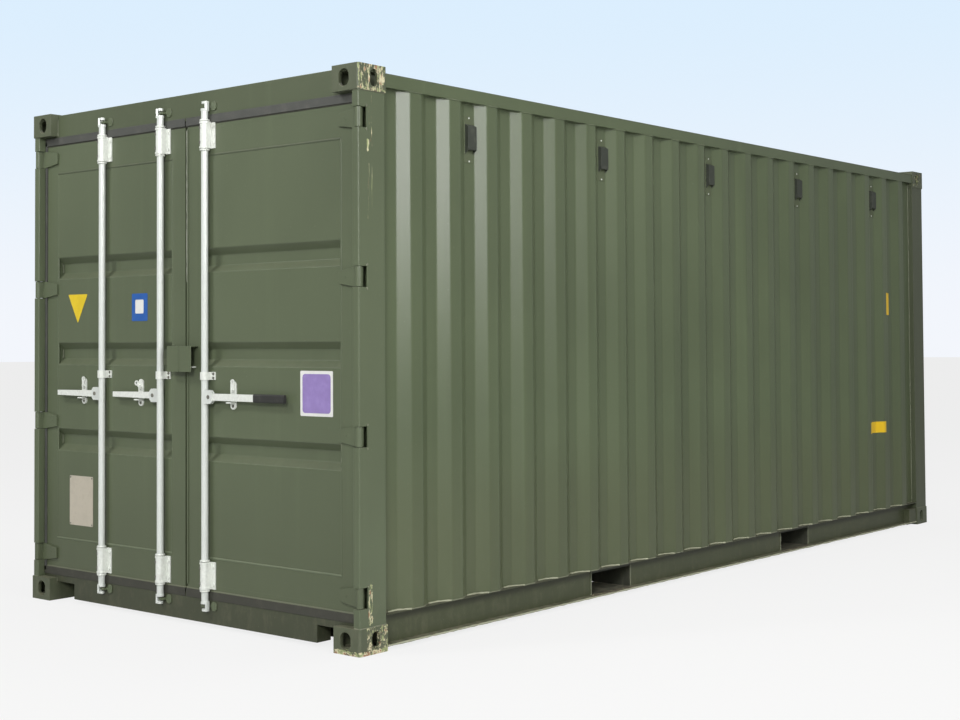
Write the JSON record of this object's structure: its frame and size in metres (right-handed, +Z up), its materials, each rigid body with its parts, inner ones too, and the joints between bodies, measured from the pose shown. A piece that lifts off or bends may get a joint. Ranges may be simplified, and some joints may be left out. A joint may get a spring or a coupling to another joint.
{
  "type": "twenty-foot shipping container",
  "caption": "Corrugated steel dry freight container with hinged double doors, turning lock bars, corner castings and fork pockets.",
  "frame": {"origin": "under the middle of the container, level with the feet of the bottom corner castings", "axes": "+X along the length to the closed front end, so the doors are at -X; +Y across to the left door's side; +Z up"},
  "size_m": [6.058, 2.438, 2.591],
  "materials": {
    "painted_steel": "satin olive green paint on corrugated steel",
    "casting_steel": "painted cast steel, scraped at the edges",
    "galvanised_steel": "matt zinc",
    "door_rubber": "dusty dark grey rubber",
    "grip_rubber": "black rubber",
    "vent_plastic": "dark green moulded plastic",
    "plywood": "varnished hardwood plywood"
  },
  "bodies": {
    "frame": {"corner_castings_bottom": "casting_steel", "corner_castings_top": "casting_steel", "door_posts": "painted_steel", "front_posts": "painted_steel", "door_header": "painted_steel", "door_sill": "painted_steel", "top_side_rails": "painted_steel", "bottom_side_rails": "painted_steel", "left_wall": "painted_steel", "right_wall": "painted_steel", "front_wall": "painted_steel", "front_top_rail": "painted_steel", "front_bottom_rail": "painted_steel", "roof": "painted_steel", "floor": "plywood", "cross_members": "painted_steel", "fork_pockets": "painted_steel", "left_vents": "vent_plastic", "right_vents": "vent_plastic", "hinge_lugs": "painted_steel", "keepers": "painted_steel"},
    "left_door": {"left_door_frame": "painted_steel", "left_door_panel": "painted_steel", "left_door_seal": "door_rubber", "left_door_hinge_blades": "painted_steel", "left_door_bar_brackets": "galvanised_steel", "left_door_lock_box": "painted_steel", "left_door_handle_retainers": "galvanised_steel"},
    "right_door": {"right_door_frame": "painted_steel", "right_door_panel": "painted_steel", "right_door_seal": "door_rubber", "right_door_hinge_blades": "painted_steel", "right_door_bar_brackets": "galvanised_steel", "right_door_lock_box": "painted_steel", "right_door_handle_retainers": "galvanised_steel"},
    "outer_left_lock_bar": {"outer_left_lock_bar": "galvanised_steel", "outer_left_cams": "galvanised_steel"},
    "outer_left_handle": {"outer_left_handle": "galvanised_steel"},
    "outer_left_catch": {"outer_left_catch": "galvanised_steel"},
    "inner_left_lock_bar": {"inner_left_lock_bar": "galvanised_steel", "inner_left_cams": "galvanised_steel"},
    "inner_left_handle": {"inner_left_handle": "galvanised_steel"},
    "inner_left_catch": {"inner_left_catch": "galvanised_steel"},
    "right_lock_bar": {"right_lock_bar": "galvanised_steel", "right_cams": "galvanised_steel"},
    "right_handle": {"right_handle": "galvanised_steel", "right_handle_grip": "grip_rubber"},
    "right_catch": {"right_catch": "galvanised_steel"}
  },
  "joints": [
    {"name": "left_door_swing", "type": "hinge", "parent": "frame", "child": "left_door", "pos_m": [-3.007, 1.197, 1.3], "axis": [0, 0, -1], "range_deg": [0, 260]},
    {"name": "right_door_swing", "type": "hinge", "parent": "frame", "child": "right_door", "pos_m": [-3.007, -1.197, 1.3], "axis": [0, 0, 1], "range_deg": [0, 260]},
    {"name": "outer_left_bar_turn", "type": "hinge", "parent": "left_door", "child": "outer_left_lock_bar", "pos_m": [-3.004, 0.64, 1.3], "axis": [0, 0, -1], "range_deg": [-90, 0]},
    {"name": "outer_left_handle_lift", "type": "hinge", "parent": "outer_left_lock_bar", "child": "outer_left_handle", "pos_m": [-3.01, 0.682, 1.104], "axis": [-1, 0, 0], "range_deg": [-20, 0]},
    {"name": "outer_left_catch_swing", "type": "hinge", "parent": "left_door", "child": "outer_left_catch", "pos_m": [-2.985, 0.82, 1.142], "axis": [1, 0, 0], "range_deg": [-55, 0]},
    {"name": "inner_left_bar_turn", "type": "hinge", "parent": "left_door", "child": "inner_left_lock_bar", "pos_m": [-3.004, 0.168, 1.3], "axis": [0, 0, -1], "range_deg": [-90, 0]},
    {"name": "inner_left_handle_lift", "type": "hinge", "parent": "inner_left_lock_bar", "child": "inner_left_handle", "pos_m": [-3.01, 0.21, 1.104], "axis": [-1, 0, 0], "range_deg": [-20, 0]},
    {"name": "inner_left_catch_swing", "type": "hinge", "parent": "left_door", "child": "inner_left_catch", "pos_m": [-2.985, 0.348, 1.142], "axis": [1, 0, 0], "range_deg": [0, 55]},
    {"name": "right_bar_turn", "type": "hinge", "parent": "right_door", "child": "right_lock_bar", "pos_m": [-3.004, -0.168, 1.3], "axis": [0, 0, 1], "range_deg": [-90, 0]},
    {"name": "right_handle_lift", "type": "hinge", "parent": "right_lock_bar", "child": "right_handle", "pos_m": [-3.01, -0.21, 1.104], "axis": [1, 0, 0], "range_deg": [-20, 0]},
    {"name": "right_catch_swing", "type": "hinge", "parent": "right_door", "child": "right_catch", "pos_m": [-2.985, -0.348, 1.142], "axis": [-1, 0, 0], "range_deg": [-55, 0]}
  ]
}
